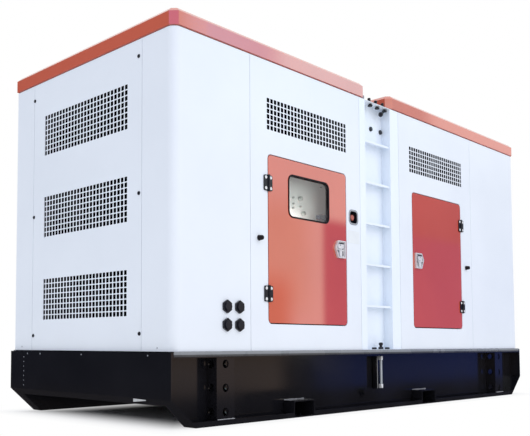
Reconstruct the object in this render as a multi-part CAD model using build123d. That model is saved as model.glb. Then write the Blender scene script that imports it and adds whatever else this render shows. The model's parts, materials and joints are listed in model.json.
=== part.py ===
from build123d import *
import os

os.makedirs("parts", exist_ok=True)

# A soundproofed diesel generator on a skid base. Millimetres, +Z up, standing on Z = 0.
# The origin is under the middle of the skid. The long side with the ladder faces -Y.
# Places along that side are measured from the canopy's left end. The ladder recess is placed
# first, and the doors, pillars and panel seams follow from it on both sides.

# Canopy and skid
canopy_length = 4450
canopy_width = 1660
skid_height = 424
skid_end_overhang = 25
skid_side_overhang = 10
deck_thickness = 6
deck_inset = 6
wall_height = 1841
wall_thickness = 40
wall_corner_radius = 55
rear_corner_radius = 4
seam_gap = 3
roof_sheet = 4
roof_lining = 36

# Panel seams of the short ends, from the front and rear corners
end_seam_front = 274
end_seam_rear = 220

# Ladder recess between the two halves of the canopy
recess_place = 1908
recess_width = 340
recess_depth = 75
recess_sheet = 5
flange_left = 75
flange_right = 118
rung_first = 757
rung_pitch = 306
rung_count = 5
rung_depth = 62
rung_sheet = 4
rung_lip = 16

# Skid side beams and end plates
beam_depth = 90
beam_sheet = 8
top_lip_height = 30
bottom_lip_height = 32
end_sheet = 8
sledge_run = 190
sledge_rise = 165
end_fold = 40
end_flange = 60

# Lifting posts in the side beams
post_offset = 1810
post_width = 150
post_sheet = 10
post_hole_radius = 25
post_hole_first = 76
post_hole_pitch = 140
post_hole_count = 3

# Fork pockets
pocket_place = 1150
pocket_spacing = 1601
pocket_width = 200
pocket_height = 92
pocket_sheet = 8

# Fuel tank between the beams, its level gauge and its drain
tank_half_length = 900
tank_bottom = 150
tank_sheet = 5
gauge_place = 2173
gauge_width = 30
gauge_bottom = 142
gauge_height = 239
gauge_depth = 34
guard_sheet = 5
guard_reach = 77
guard_depth = 44
drain_place = 1942
drain_height = 122
drain_radius = 30

# Doors, and the pillars on both sides of them
door_left_width = 840
door_right_width = 790
stop_pillar = 181
hinge_pillar_left = 171
latch_pillar_right = 196
hinge_pillar_right = 196
door_bottom = 604
door_height = 1065
door_thickness = 32
door_corner_radius = 26
door_gap = 7
door_rim = 36
door_pan_depth = 10
seal_overlap = 18
seal_thickness = 14

# Window in the left door
window_inset = 202
window_width = 435
window_rise = 694
window_height = 276
window_corner_radius = 42
gasket_width = 10
gasket_proud = 3
glass_thickness = 6

# Hinges
hinge_spacing = 700
hinge_height = 107
hinge_wall_leaf = 34
hinge_door_leaf = 27
hinge_leaf_thickness = 7
hinge_leaf_short = 4
hinge_corner_radius = 10
knuckle_radius = 8
knuckle_clearance = 1
pin_radius = 4
pin_clearance = 0.3

# Latches
latch_inset = 82
latch_drop = 6
latch_width = 115
latch_tall = 121
latch_rim = 7
latch_floor = 4
latch_depth = 15
latch_cut = 28
latch_point = 14
latch_point_rise = 8
lock_width = 62
lock_tall = 38
lock_height = 11
lock_gap = 5
paddle_width = 36
paddle_foot = 22
paddle_length = 42
paddle_thickness = 4
paddle_pin_radius = 3
paddle_knuckle_radius = 4.5
paddle_drop = 6
paddle_pin_height = 8

# Door bumpers on the walls
bumper_inset = 88
bumper_base_radius = 18
bumper_tip_radius = 14
bumper_depth = 32
bumper_round = 5

# Perforated grilles
hole_width = 20
hole_height = 27
hole_pitch_x = 34.8
hole_pitch_z = 35
columns_per_slot = 9
grille_sheet = 4
grille_border = 8
side_columns = 25
side_rows = 6
end_columns = 26
end_rows = 8
side_grille_rise = 264
end_grille_first = 773
end_grille_pitch = 561
end_grille_count = 3

# Roof caps
cap_gap = 320
cap_overhang = 6
cap_fascia = 80
cap_bevel = 24
cap_corner_cut = 40
cap_sheet = 5
curb_height = 8
curb_inset = 14
curb_width = 8

# Emergency stop
stop_inset = 93
stop_height = 1376
stop_width = 110
stop_tall = 106
stop_corner_radius = 34
stop_wall = 4
stop_depth = 36
stop_boss_radius = 17
stop_boss_height = 6
button_radius = 21
button_height = 12
stem_radius = 10
stem_clearance = 0.5
button_travel = 6
button_setback = 6

# Cable glands
gland_inset = 160
gland_height = 640
gland_pitch = 108
gland_flats = 70
gland_depth = 12
gland_cap_radius = 27
gland_cap_depth = 9

# Control cabinet behind the window
cabinet_margin = 62
cabinet_margin_z = 120
cabinet_setback = 130
cabinet_depth = 150
cabinet_leg = 40

half_length = canopy_length / 2
half_width = canopy_width / 2
front = -half_width
skid_half_length = half_length + skid_end_overhang
skid_half_width = half_width + skid_side_overhang
wall_bottom = skid_height + deck_thickness
wall_top = wall_bottom + wall_height
roof_top = wall_top + roof_sheet
web_face = -skid_half_width + beam_depth
hinge_axis = front - knuckle_radius - knuckle_clearance
latch_face = front - latch_floor

# Places from the canopy's left end that follow from the ladder recess
recess_left = recess_place
recess_right = recess_left + recess_width
frame_left = recess_left - flange_left
frame_right = recess_right + flange_right
door_left_end = frame_left - stop_pillar
door_left_start = door_left_end - door_left_width
seam_left = door_left_start - hinge_pillar_left
door_right_start = frame_right + latch_pillar_right
door_right_end = door_right_start + door_right_width
seam_right = door_right_end + hinge_pillar_right
cap_gap_left = (recess_left + recess_right - cap_gap) / 2
cap_gap_right = cap_gap_left + cap_gap
window_start = door_left_start + window_inset
gland_place = seam_left - gland_inset
stop_place = door_left_end + stop_inset

# Heights and places that follow from the doors and the end panels
door_middle = door_bottom + door_height / 2
door_top = door_bottom + door_height
window_bottom = door_bottom + window_rise
latch_height = door_middle - latch_drop
hinge_heights = (door_middle - hinge_spacing / 2, door_middle + hinge_spacing / 2)
side_grille_centre = door_top + side_grille_rise
side_grille_places = ((door_left_start + door_left_end) / 2, (door_right_start + door_right_end) / 2)
end_grille_place = (end_seam_front + canopy_width - end_seam_rear) / 2
end_grille_centres = [end_grille_first + index * end_grille_pitch for index in range(end_grille_count)]
rung_heights = [rung_first + index * rung_pitch for index in range(rung_count)]
post_hole_heights = [post_hole_first + index * post_hole_pitch for index in range(post_hole_count)]


def from_left(place):
    return place - half_length


def block(x_low, x_high, y_low, y_high, z_low, z_high):
    """A box between two corners."""
    centre = Pos((x_low + x_high) / 2, (y_low + y_high) / 2, (z_low + z_high) / 2)
    return centre * Box(x_high - x_low, y_high - y_low, z_high - z_low)


def facing_front(sketch, x, z, y_face, depth):
    """A sketch on the plane y_face, seen from the front, extruded inward by depth."""
    plane = Plane(origin=(x, y_face, z), x_dir=(1, 0, 0), z_dir=(0, -1, 0))
    return extrude(plane * sketch, -depth)


def along_x(points_yz, x_low, x_high):
    """A closed outline in Y and Z, extruded along X."""
    face = make_face(Polyline(*[(0, y, z) for y, z in points_yz], close=True))
    return Pos(x_low, 0, 0) * extrude(face, x_high - x_low, dir=(1, 0, 0))


def along_y(points_xz, y_low, y_high):
    """A closed outline in X and Z, extruded along Y."""
    face = make_face(Polyline(*[(x, 0, z) for x, z in points_xz], close=True))
    return Pos(0, y_low, 0) * extrude(face, y_high - y_low, dir=(0, 1, 0))


def to_rear(shape):
    return mirror(shape, Plane.XZ)


def to_right(shape):
    return mirror(shape, Plane.YZ)


def save(name, *solids):
    """Writes one node. Pieces that don't touch are kept as separate solids."""
    shape = solids[0] if len(solids) == 1 else Compound(list(solids))
    export_step(shape, f"parts/{name}.step")


# Skid side beam: a folded channel, open to the outside, with lips on both flanges
def sledge_outline(inset):
    """The skid's left end from the side: upright, then a 45 degree run to the floor."""
    slope = sledge_rise / sledge_run
    lean = (1 + slope * slope) ** 0.5
    x_end = -skid_half_length + inset
    knee = sledge_rise + inset * (lean - slope)
    foot = x_end + knee / slope
    return x_end, knee, foot


def skid_beam():
    outer = -skid_half_width
    web_back = web_face + beam_sheet
    profile = [
        (outer, skid_height), (outer, skid_height - top_lip_height),
        (outer + beam_sheet, skid_height - top_lip_height), (outer + beam_sheet, skid_height - beam_sheet),
        (web_face, skid_height - beam_sheet), (web_face, beam_sheet),
        (outer + beam_sheet, beam_sheet), (outer + beam_sheet, bottom_lip_height),
        (outer, bottom_lip_height), (outer, 0), (web_back, 0), (web_back, skid_height),
    ]
    x_end, knee, foot = sledge_outline(end_sheet)
    beam = along_x(profile, x_end, -x_end)
    reach = skid_half_width + beam_depth
    wedge = along_y([(x_end, knee), (foot, 0), (foot, -knee), (x_end - knee, -knee), (x_end - knee, knee)],
                    -reach, 0)
    beam -= wedge
    beam -= to_right(wedge)
    for sleeve in pocket_blocks():
        beam -= sleeve
    return beam


def pocket_blocks():
    """The outside of the two fork sleeves, as plain blocks."""
    places = (pocket_place, pocket_place + pocket_spacing)
    half = pocket_width / 2 + pocket_sheet
    top = pocket_height + 2 * pocket_sheet
    return [block(from_left(place) - half, from_left(place) + half, -skid_half_width, skid_half_width, 0, top)
            for place in places]


def fork_sleeves():
    sleeves = []
    for place, sleeve in zip((pocket_place, pocket_place + pocket_spacing), pocket_blocks()):
        middle = from_left(place)
        hollow = block(middle - pocket_width / 2, middle + pocket_width / 2,
                       -skid_half_width, skid_half_width, pocket_sheet, pocket_sheet + pocket_height)
        sleeves.append(sleeve - hollow)
    return sleeves


def skid_end():
    """End plate across the skid, folded under at its foot, with a sledge plate closing each beam."""
    x_out, knee_out, foot_out = sledge_outline(0)
    x_in, knee_in, foot_in = sledge_outline(end_sheet)
    slope = sledge_rise / sledge_run
    beam_back = web_face + beam_sheet
    shoe = along_y([(x_out, skid_height), (x_out, knee_out), (foot_out, 0), (foot_in, 0),
                    (x_in, knee_in), (x_in, skid_height)], -skid_half_width, beam_back)
    fold_out = knee_out - end_fold
    fold_in = knee_in - end_fold
    plate = along_y([(x_out, skid_height), (x_out, knee_out), (x_out + end_fold / slope, fold_out),
                     (x_in + end_fold / slope, fold_in), (x_in, knee_in), (x_in, skid_height)],
                    beam_back, -beam_back)
    flange = block(x_in, x_in + end_flange, beam_back, -beam_back, skid_height - end_sheet, skid_height)
    return plate + flange + shoe + to_rear(shoe)


def lifting_post():
    """A channel post in the left front of the beam: three holes in its face and in both cheeks."""
    x_low = -post_offset - post_width / 2
    x_high = -post_offset + post_width / 2
    face_y = -skid_half_width + beam_sheet
    z_low = beam_sheet
    z_high = skid_height - beam_sheet
    post = block(x_low, x_high, face_y, web_face, z_low, z_high)
    post -= block(x_low + post_sheet, x_high - post_sheet, face_y + post_sheet, web_face, z_low, z_high)
    cheek_middle = (face_y + post_sheet + web_face) / 2
    for height in post_hole_heights:
        post -= Pos(-post_offset, face_y + post_sheet / 2, height) * Cylinder(
            post_hole_radius, 2 * post_sheet, rotation=(90, 0, 0))
        post -= Pos(-post_offset, cheek_middle, height) * Cylinder(
            post_hole_radius, post_width, rotation=(0, 90, 0))
    return post


def fuel_tank():
    """A closed sheet tank between the webs of the two beams, under the deck."""
    side = -web_face - beam_sheet
    tank = block(-tank_half_length, tank_half_length, -side, side, tank_bottom, skid_height)
    tank -= block(-tank_half_length + tank_sheet, tank_half_length - tank_sheet,
                  -side + tank_sheet, side - tank_sheet, tank_bottom + tank_sheet, skid_height - tank_sheet)
    return tank


def level_gauge():
    """Sight tube between two end blocks, beside an upright guard, on the beam's web."""
    x = from_left(gauge_place)
    half = gauge_width / 2
    top = gauge_bottom + gauge_height
    y_low = web_face - gauge_depth
    gauge = block(x - half, x + half, y_low, web_face, gauge_bottom, gauge_bottom + half)
    gauge += block(x - half, x + half, y_low, web_face, top - half, top)
    gauge += Pos(x, y_low + half, gauge_bottom + gauge_height / 2) * Cylinder(half * 0.7, gauge_height - 2)
    guard_x = x - half - guard_reach
    gauge += block(guard_x, x - half, web_face - guard_sheet, web_face, gauge_bottom, top)
    gauge += block(guard_x, guard_x + guard_sheet, web_face - guard_depth, web_face, gauge_bottom, top)
    return gauge


def drain_plug():
    place = Plane(origin=(from_left(drain_place), web_face, drain_height), x_dir=(1, 0, 0), z_dir=(0, -1, 0))
    plug = extrude(place * Circle(drain_radius), drain_radius / 3)
    plug += extrude(place * RegularPolygon(drain_radius * 0.7, 6), drain_radius)
    return plug


# Canopy walls: one ring, cut into panels at the seams
def canopy_plan(inset):
    """The canopy from above, with wide rounds at the front corners and tight folds at the rear ones."""
    plan = Rectangle(canopy_length - 2 * inset, canopy_width - 2 * inset)
    corners = plan.vertices().group_by(Axis.Y)
    plan = fillet(corners[0], wall_corner_radius - inset)
    if inset < rear_corner_radius:
        plan = fillet(plan.vertices().group_by(Axis.Y)[-1], rear_corner_radius - inset)
    return plan


def wall_ring():
    return Pos(0, 0, wall_bottom) * extrude(canopy_plan(0) - canopy_plan(wall_thickness), wall_height)


ring = wall_ring()


def wall_part(x_low, x_high, y_low, y_high, z_low=wall_bottom, z_high=wall_top):
    return (ring & block(x_low, x_high, y_low, y_high, z_low, z_high)).solid()


def door_outline(width, grow):
    return RectangleRounded(width + 2 * grow, door_height + 2 * grow, door_corner_radius + grow)


def doorway(start, width):
    """The hole in the wall for a door, with the door gap all round."""
    middle = from_left(start + width / 2)
    return facing_front(door_outline(width, door_gap), middle, door_middle,
                        front, wall_thickness)


def grille_size(columns, rows):
    width = (columns - 1) * hole_pitch_x + hole_width + 2 * grille_border
    height = (rows - 1) * hole_pitch_z + hole_height + 2 * grille_border
    return width, height


def grille(columns, rows):
    """A grille sheet lying flat: each row of holes is cut as a few long slots."""
    sheet = Rectangle(*grille_size(columns, rows))
    for row in range(rows):
        z = (row - (rows - 1) / 2) * hole_pitch_z
        for first in range(0, columns, columns_per_slot):
            count = min(columns_per_slot, columns - first)
            width = (count - 1) * hole_pitch_x + hole_width
            x = (first + (count - 1) / 2 - (columns - 1) / 2) * hole_pitch_x
            sheet -= Pos(x, z) * Rectangle(width, hole_height)
    return sheet


def front_grille(place):
    return facing_front(grille(side_columns, side_rows), from_left(place), side_grille_centre,
                        front, grille_sheet)


def front_grille_hole(place):
    return facing_front(Rectangle(*grille_size(side_columns, side_rows)), from_left(place),
                        side_grille_centre, front, wall_thickness)


def end_plane(height):
    """The face of the left end, at a grille's centre."""
    return Plane(origin=(-half_length, front + end_grille_place, height), x_dir=(0, -1, 0), z_dir=(-1, 0, 0))


def end_grilles():
    return [extrude(end_plane(height) * grille(end_columns, end_rows), -grille_sheet)
            for height in end_grille_centres]


def end_panel():
    panel = wall_part(-half_length, -half_length + wall_thickness,
                      front + end_seam_front + seam_gap / 2, half_width - end_seam_rear - seam_gap / 2)
    for height in end_grille_centres:
        panel -= extrude(end_plane(height) * Rectangle(*grille_size(end_columns, end_rows)), -wall_thickness)
    return panel


def door_wall(x_low, x_high, start, width, grille_place):
    """The panel round one doorway: two jambs, the strips over the door, and the part under it."""
    panel = wall_part(x_low + seam_gap / 2, x_high - seam_gap / 2, front, front + wall_thickness)
    panel -= doorway(start, width)
    panel -= front_grille_hole(grille_place)
    left_edge = from_left(start) - door_gap
    right_edge = from_left(start + width) + door_gap
    jamb_left = panel & block(x_low, left_edge, front, front + wall_thickness, wall_bottom, wall_top)
    jamb_right = panel & block(right_edge, x_high, front, front + wall_thickness, wall_bottom, wall_top)
    over = panel & block(left_edge, right_edge, front, front + wall_thickness, door_middle, wall_top)
    under = panel & block(left_edge, right_edge, front, front + wall_thickness, wall_bottom, door_middle)
    return jamb_left.solid(), jamb_right.solid(), over.solids(), under.solid()


def rear_wall(x_low, x_high, start, width, grille_place):
    """The rear panels repeat the front ones, with the doorway left whole in one panel."""
    panel = wall_part(x_low + seam_gap / 2, x_high - seam_gap / 2, front, front + wall_thickness)
    panel -= doorway(start, width)
    panel -= front_grille_hole(grille_place)
    return to_rear(panel)


def door_seal(start, width):
    """Frame behind the doorway that the closed door's rim faces."""
    middle = from_left(start + width / 2)
    frame = door_outline(width, door_gap + seal_overlap) - door_outline(width, -seal_overlap)
    return facing_front(frame, middle, door_middle, front + wall_thickness, seal_thickness)


# Doors
def door_leaf(start, width):
    """A flush leaf, hollowed on its inner side between its rims."""
    middle = from_left(start + width / 2)
    leaf = facing_front(door_outline(width, 0), middle, door_middle, front, door_thickness)
    pan = Rectangle(width - 2 * door_rim, door_height - 2 * door_rim)
    leaf -= facing_front(pan, middle, door_middle, front + door_thickness - door_pan_depth, door_pan_depth)
    return leaf


def window_outline(grow):
    return RectangleRounded(window_width + 2 * grow, window_height + 2 * grow, window_corner_radius + grow)


def in_window(sketch, y_face, depth):
    return facing_front(sketch, from_left(window_start + window_width / 2), window_bottom + window_height / 2,
                        y_face, depth)


def window_gasket():
    """Rubber round the glass, lapping the door's skin outside and inside."""
    skin = door_thickness - door_pan_depth
    band = in_window(window_outline(gasket_width / 2) - window_outline(-gasket_width / 2),
                     front - gasket_proud, skin + 2 * gasket_proud)
    seat = in_window(window_outline(gasket_width) - window_outline(0), front, skin)
    pane = in_window(window_outline(0), front + (skin - glass_thickness) / 2, glass_thickness)
    return band - seat - pane


def window_glass():
    skin = door_thickness - door_pan_depth
    return in_window(window_outline(0), front + (skin - glass_thickness) / 2, glass_thickness)


def knuckle_band(index):
    """Bottom, middle and top thirds of a hinge, with a small gap between them."""
    third = hinge_height / 3
    low = -hinge_height / 2 + index * third
    return low + knuckle_clearance / 2, low + third - knuckle_clearance / 2


def hinge_leaf_solid(axis_x, height, side, leaf_width, bands, bore):
    """One leaf of a hinge: a plate on the wall or door with its knuckles on the axis."""
    inner = axis_x + side * (knuckle_radius + knuckle_clearance)
    outer = inner + side * leaf_width
    y_low = front - hinge_leaf_thickness
    half_leaf = hinge_height / 2 - hinge_leaf_short
    leaf = block(min(inner, outer), max(inner, outer), y_low, front, height - half_leaf, height + half_leaf)
    outer_edges = leaf.edges().filter_by(Axis.Y).sort_by(lambda edge: side * edge.center().X)[-2:]
    leaf = fillet(outer_edges, hinge_corner_radius)
    for index in bands:
        low, high = knuckle_band(index)
        middle = Pos(axis_x, hinge_axis, height + (low + high) / 2)
        leaf += block(min(axis_x, inner), max(axis_x, inner), hinge_axis, front - knuckle_clearance,
                      height + low, height + high)
        leaf += middle * Cylinder(knuckle_radius, high - low)
        leaf -= middle * Cylinder(bore, high - low)
    return leaf


def hinge_pin(axis_x, height):
    return Pos(axis_x, hinge_axis, height) * Cylinder(pin_radius, hinge_height)


def wall_hinges(axis_x, side):
    """Outer leaves and pins of one door's two hinges. The pin is fixed in these leaves."""
    return [hinge_leaf_solid(axis_x, height, side, hinge_wall_leaf, (0, 2), pin_radius)
            + hinge_pin(axis_x, height) for height in hinge_heights]


def door_hinges(axis_x, side):
    return [hinge_leaf_solid(axis_x, height, side, hinge_door_leaf, (1,), pin_radius + pin_clearance)
            for height in hinge_heights]


# Latches
def latch_outline(side, shrink):
    """A plate with one upright edge and a blunt point on the other side."""
    half_w = latch_width / 2
    half_t = latch_tall / 2
    points = [(half_w, half_t), (latch_cut - half_w, half_t), (-half_w, latch_point_rise + latch_point / 2),
              (-half_w, latch_point_rise - latch_point / 2), (latch_cut - half_w, -half_t), (half_w, -half_t)]
    face = make_face(Polyline(*[(side * x, z) for x, z in points], close=True))
    return offset(face, -shrink) if shrink else face


def latch_body(x, side):
    """A shallow dish on the door, with the lock barrel and the lugs of the paddle's pin."""
    dish = facing_front(latch_outline(side, 0), x, latch_height, front - latch_depth, latch_depth)
    dish -= facing_front(latch_outline(side, latch_rim), x, latch_height, front - latch_depth,
                         latch_depth - latch_floor)
    pin_z = latch_height - paddle_drop
    barrel_z = pin_z + paddle_knuckle_radius + lock_gap + lock_tall / 2
    dish += facing_front(SlotOverall(lock_width, lock_tall), x, barrel_z, latch_face - lock_height, lock_height)
    lug = paddle_knuckle_radius * 2
    for end in (-1, 1):
        lug_x = x + end * (paddle_width / 2 + lug / 2 + 1)
        dish += block(lug_x - lug / 2, lug_x + lug / 2, latch_face - lug, latch_face,
                      pin_z - lug / 2, pin_z + lug / 2)
    dish += Pos(x, latch_face - paddle_pin_height, pin_z) * Cylinder(
        paddle_pin_radius, paddle_width + 2 * lug, rotation=(0, 90, 0))
    return dish


def latch_paddle(x):
    """A pull that hangs on its pin and swings out at its lower edge."""
    pin_z = latch_height - paddle_drop
    pin_y = latch_face - paddle_pin_height
    y_low = pin_y - paddle_thickness / 2
    tongue = make_face(Polyline((x - paddle_width / 2, pin_z), (x + paddle_width / 2, pin_z),
                                (x + paddle_foot / 2, pin_z - paddle_length),
                                (x - paddle_foot / 2, pin_z - paddle_length), close=True))
    pull = facing_front(tongue, 0, 0, y_low, paddle_thickness)
    pull += Pos(x, pin_y, pin_z) * Cylinder(paddle_knuckle_radius, paddle_width, rotation=(0, 90, 0))
    pull -= Pos(x, pin_y, pin_z) * Cylinder(
        paddle_pin_radius + pin_clearance, paddle_width, rotation=(0, 90, 0))
    return pull


def bumper(axis_x, side):
    """A tapered rubber buffer that stops the open door."""
    base = Plane(origin=(axis_x + side * bumper_inset, front, latch_height), x_dir=(1, 0, 0), z_dir=(0, -1, 0))
    buffer = loft([base * Circle(bumper_base_radius), base.offset(bumper_depth) * Circle(bumper_tip_radius)])
    return fillet(buffer.edges().filter_by(GeomType.CIRCLE).sort_by(Axis.Y)[0], bumper_round)


# Ladder recess
def ladder_channel():
    """A folded channel: front flanges, side walls and a back, from the deck to the roof sheet."""
    left = from_left(recess_left)
    right = from_left(recess_right)
    back = front + recess_depth
    inner_face = front + recess_sheet
    outline = [
        (from_left(frame_left) + seam_gap / 2, front), (left, front), (left, back), (right, back),
        (right, front), (from_left(frame_right) - seam_gap / 2, front),
        (from_left(frame_right) - seam_gap / 2, inner_face), (right + recess_sheet, inner_face),
        (right + recess_sheet, back + recess_sheet), (left - recess_sheet, back + recess_sheet),
        (left - recess_sheet, inner_face), (from_left(frame_left) + seam_gap / 2, inner_face),
    ]
    face = make_face(Polyline(*[(x, y, 0) for x, y in outline], close=True))
    return Pos(0, 0, wall_bottom) * extrude(face, wall_height, dir=(0, 0, 1))


def rung(height):
    """A folded tread across the recess with its lip turned down in front."""
    back = front + recess_depth
    y_front = back - rung_depth
    profile = [(back, height), (y_front, height), (y_front, height - rung_lip),
               (y_front + rung_sheet, height - rung_lip), (y_front + rung_sheet, height - rung_sheet),
               (back, height - rung_sheet)]
    return along_x(profile, from_left(recess_left), from_left(recess_right))


def rear_centre():
    """Plain strip that closes the rear between the two halves."""
    strip = wall_part(from_left(frame_left) + seam_gap / 2, from_left(frame_right) - seam_gap / 2,
                      front, front + wall_thickness)
    return to_rear(strip)


# Roof
def cap_outline(x_low, x_high, inset):
    """The plan of a roof cap, a rectangle with its front corners cut off."""
    low = x_low + inset
    high = x_high - inset
    half = half_width + cap_overhang - inset
    cut = cap_corner_cut - inset * (2 - 2 ** 0.5)
    points = [(low + cut, -half), (high - cut, -half), (high, -half + cut), (high, half),
              (low, half), (low, -half + cut)]
    return make_face(Polyline(*points, close=True))


def cap_body(x_low, x_high, inset, z_low, z_high):
    body = Pos(0, 0, z_low) * extrude(cap_outline(x_low, x_high, inset), z_high - z_low)
    return chamfer(body.faces().sort_by(Axis.Z)[-1].edges(), cap_bevel)


def roof_cap(x_low, x_high):
    """A pressed tray with a bevelled top edge and a lip turned in at its foot."""
    z_low = roof_top + curb_height
    z_high = z_low + cap_fascia + cap_bevel
    cap = cap_body(x_low, x_high, 0, z_low, z_high)
    cap -= cap_body(x_low, x_high, cap_sheet, z_low + cap_sheet, z_high - cap_sheet)
    lip = curb_inset + cap_overhang + curb_width
    cap -= Pos(0, 0, z_low) * extrude(cap_outline(x_low, x_high, lip), cap_sheet)
    return cap


cap_ends = (
    (-half_length - cap_overhang, from_left(cap_gap_left)),
    (from_left(cap_gap_right), half_length + cap_overhang),
)


def roof_deck():
    """The roof sheet, its lining between the walls, and a curb under the foot of each cap."""
    deck = Pos(0, 0, wall_top) * extrude(canopy_plan(0), roof_sheet)
    lining = Pos(0, 0, wall_top - roof_lining) * extrude(canopy_plan(wall_thickness), roof_lining)
    lining -= block(from_left(recess_left) - recess_sheet, from_left(recess_right) + recess_sheet,
                    front, front + recess_depth + recess_sheet, wall_top - roof_lining, wall_top)
    deck += lining
    for x_low, x_high in cap_ends:
        inset = curb_inset + cap_overhang
        curb = cap_outline(x_low, x_high, inset) - cap_outline(x_low, x_high, inset + curb_width)
        deck += Pos(0, 0, roof_top) * extrude(curb, curb_height)
    return deck


# Emergency stop
def stop_outline(shrink):
    return RectangleRounded(stop_width - 2 * shrink, stop_tall - 2 * shrink, stop_corner_radius - shrink)


def at_stop(sketch, y_face, depth):
    return facing_front(sketch, from_left(stop_place), stop_height, y_face, depth)


def stop_housing():
    """A cup sunk in the wall, with a boss that guides the button's stem."""
    cup = at_stop(stop_outline(0), front, stop_depth)
    cup -= at_stop(stop_outline(stop_wall), front, stop_depth - stop_wall)
    floor_y = front + stop_depth - stop_wall
    cup += at_stop(Circle(stop_boss_radius), floor_y - stop_boss_height, stop_boss_height)
    cup -= at_stop(Circle(stem_radius + stem_clearance), front, stop_depth)
    return cup


def stop_button():
    """A mushroom head on its stem."""
    head_y = front + button_setback
    head = at_stop(Circle(button_radius), head_y, button_height)
    head = fillet(head.edges().filter_by(GeomType.CIRCLE).sort_by(Axis.Y)[0], button_height * 0.55)
    stem_length = stop_depth - stop_wall / 2 - button_setback - button_height - button_travel
    return head + at_stop(Circle(stem_radius), head_y + button_height, stem_length)


def gland_caps():
    """Four hexagonal plugs in two rows, points up."""
    caps = []
    for column in (-0.5, 0.5):
        for row in (-0.5, 0.5):
            x = from_left(gland_place) + column * gland_pitch
            z = gland_height + row * gland_pitch
            hexagon = RegularPolygon(gland_flats / 2, 6, major_radius=False, rotation=30)
            cap = facing_front(hexagon, x, z, front - gland_depth, gland_depth)
            cap += facing_front(Circle(gland_cap_radius), x, z, front - gland_depth - gland_cap_depth,
                                gland_cap_depth)
            caps.append(cap)
    return caps


def control_cabinet():
    """The cabinet seen through the window, on two legs that stand on the deck."""
    left = from_left(window_start - cabinet_margin)
    right = from_left(window_start + window_width + cabinet_margin)
    bottom = window_bottom - cabinet_margin_z
    top = window_bottom + window_height + cabinet_margin_z
    y_low = front + cabinet_setback
    y_high = y_low + cabinet_depth
    cabinet = block(left, right, y_low, y_high, bottom, top)
    for leg_x in (left, right - cabinet_leg):
        cabinet += block(leg_x, leg_x + cabinet_leg, y_high - cabinet_leg, y_high, wall_bottom, bottom)
    return cabinet


# Skid nodes
save("skid_beam_front", skid_beam())
save("skid_beam_rear", to_rear(skid_beam()))
save("skid_ends", skid_end(), to_right(skid_end()))
save("fork_sleeves", *fork_sleeves())
front_post = lifting_post()
rear_post = to_rear(front_post)
save("lifting_posts", front_post, to_right(front_post), rear_post, to_right(rear_post))
save("fuel_tank", fuel_tank())
save("level_gauge", level_gauge())
save("drain_plug", drain_plug())
save("deck", Pos(0, 0, skid_height) * extrude(canopy_plan(deck_inset), deck_thickness))

# Wall nodes
corner_x_left = from_left(seam_left) - seam_gap / 2
corner_x_right = from_left(seam_right) + seam_gap / 2
corner_y_front = front + end_seam_front - seam_gap / 2
corner_y_rear = half_width - end_seam_rear + seam_gap / 2
save("corner_panels_front", wall_part(-half_length, corner_x_left, front, corner_y_front),
     wall_part(corner_x_right, half_length, front, corner_y_front))
save("corner_panels_rear", wall_part(-half_length, corner_x_left, corner_y_rear, half_width),
     wall_part(corner_x_right, half_length, corner_y_rear, half_width))
save("end_panels", end_panel(), to_right(end_panel()))
save("end_grilles", *end_grilles(), *[to_right(sheet) for sheet in end_grilles()])

stop_hole = at_stop(stop_outline(0), front, wall_thickness)
jamb_a, jamb_b, over_left, under_left = door_wall(
    from_left(seam_left), from_left(frame_left), door_left_start, door_left_width, side_grille_places[0])
jamb_c, jamb_d, over_right, under_right = door_wall(
    from_left(frame_right), from_left(seam_right), door_right_start, door_right_width, side_grille_places[1])
save("door_jambs", jamb_a, jamb_b - stop_hole, jamb_c, jamb_d)
save("walls_over_doors", *over_left, *over_right)
save("walls_under_doors", under_left, under_right)
save("rear_wall_left", rear_wall(from_left(seam_left), from_left(frame_left),
                                 door_left_start, door_left_width, side_grille_places[0]))
save("rear_wall_right", rear_wall(from_left(frame_right), from_left(seam_right),
                                  door_right_start, door_right_width, side_grille_places[1]))
save("rear_centre_strip", rear_centre())
grilles = [front_grille(place) for place in side_grille_places]
save("side_grilles", *grilles, *[to_rear(sheet) for sheet in grilles])
seals = [door_seal(door_left_start, door_left_width), door_seal(door_right_start, door_right_width)]
save("door_seals", *seals)
save("ladder_channel", ladder_channel())
save("ladder_rungs", *[rung(height) for height in rung_heights])
save("roof_deck", roof_deck())
save("roof_cap_left", roof_cap(*cap_ends[0]))
save("roof_cap_right", roof_cap(*cap_ends[1]))

# Door nodes. The left door turns on its left edge and the right door on its right edge.
axis_left = from_left(door_left_start) - door_gap / 2
axis_right = from_left(door_right_end) + door_gap / 2
latch_left = from_left(door_left_end) - latch_inset
latch_right = from_left(door_right_start) + latch_inset
glass_hole = in_window(window_outline(0), front, door_thickness)
save("door_left", door_leaf(door_left_start, door_left_width) - glass_hole)
save("door_left_gasket", window_gasket())
save("door_left_glass", window_glass())
save("door_left_hinges", *door_hinges(axis_left, 1))
save("door_left_latch", latch_body(latch_left, 1))
save("paddle_left", latch_paddle(latch_left))
save("door_right", door_leaf(door_right_start, door_right_width))
save("door_right_hinges", *door_hinges(axis_right, -1))
save("door_right_latch", latch_body(latch_right, -1))
save("paddle_right", latch_paddle(latch_right))
save("wall_hinges", *wall_hinges(axis_left, -1), *wall_hinges(axis_right, 1))
save("bumpers", bumper(axis_left, -1), bumper(axis_right, 1),
     to_rear(bumper(axis_left, -1)), to_rear(bumper(axis_right, 1)))

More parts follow.
